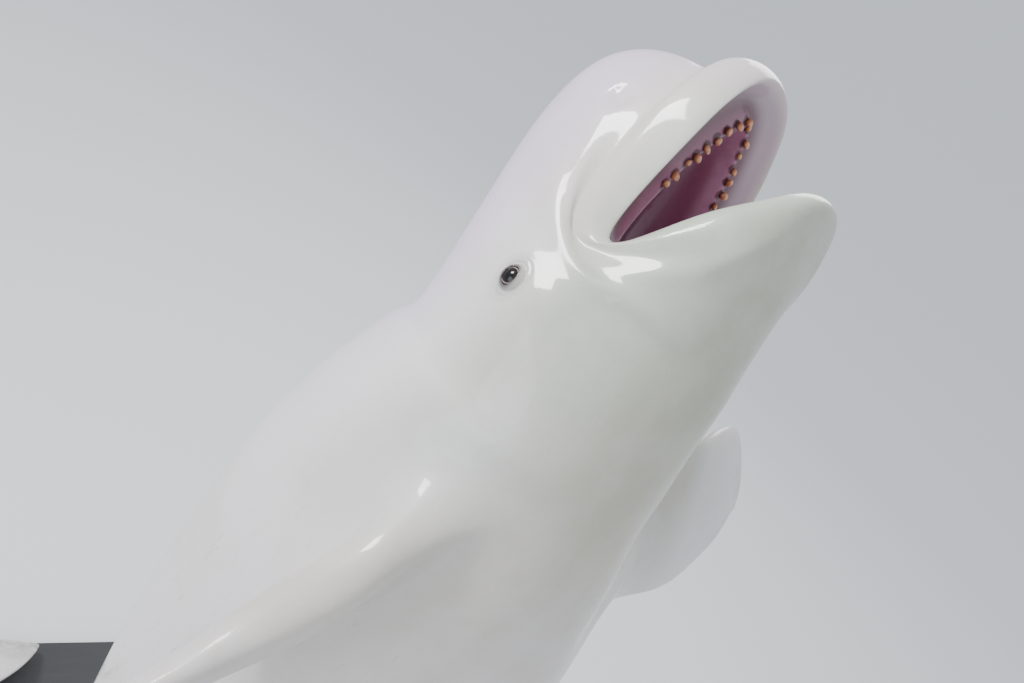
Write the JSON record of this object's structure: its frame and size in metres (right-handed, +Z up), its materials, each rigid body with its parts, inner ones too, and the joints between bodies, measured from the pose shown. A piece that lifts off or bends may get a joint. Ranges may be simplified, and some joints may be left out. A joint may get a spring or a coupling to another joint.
{
  "type": "beluga whale",
  "caption": "Life-size museum model of a white whale rising upright with its mouth open, head tilted back, on a low display base with two rods.",
  "frame": {"origin": "The middle of the underside of the stand's base, which stands on the floor.", "axes": "+Z is up and is the longest way of the model. The whale's belly faces -Y and its right side faces -X."},
  "size_m": [1.4974, 1.7, 3.3066],
  "materials": {
    "skin": "smooth wet white skin, satin gloss",
    "eye": "polished dark brown eye",
    "tongue": "wet mauve flesh",
    "base": "charcoal painted board, satin",
    "rod": "brushed steel"
  },
  "bodies": {
    "root": {"head": "skin", "lower_jaw": "skin", "neck": "skin", "shoulders": "skin", "chest": "skin", "belly": "skin", "loin": "skin", "tail_stock": "skin", "tail_end": "skin", "flipper_left": "skin", "flipper_right": "skin", "fluke_left": "skin", "fluke_right": "skin", "eye_left": "eye", "eye_right": "eye", "tongue": "tongue", "stand_base": "base", "stand_rod_front": "rod", "stand_rod_rear": "rod"}
  },
  "joints": []
}
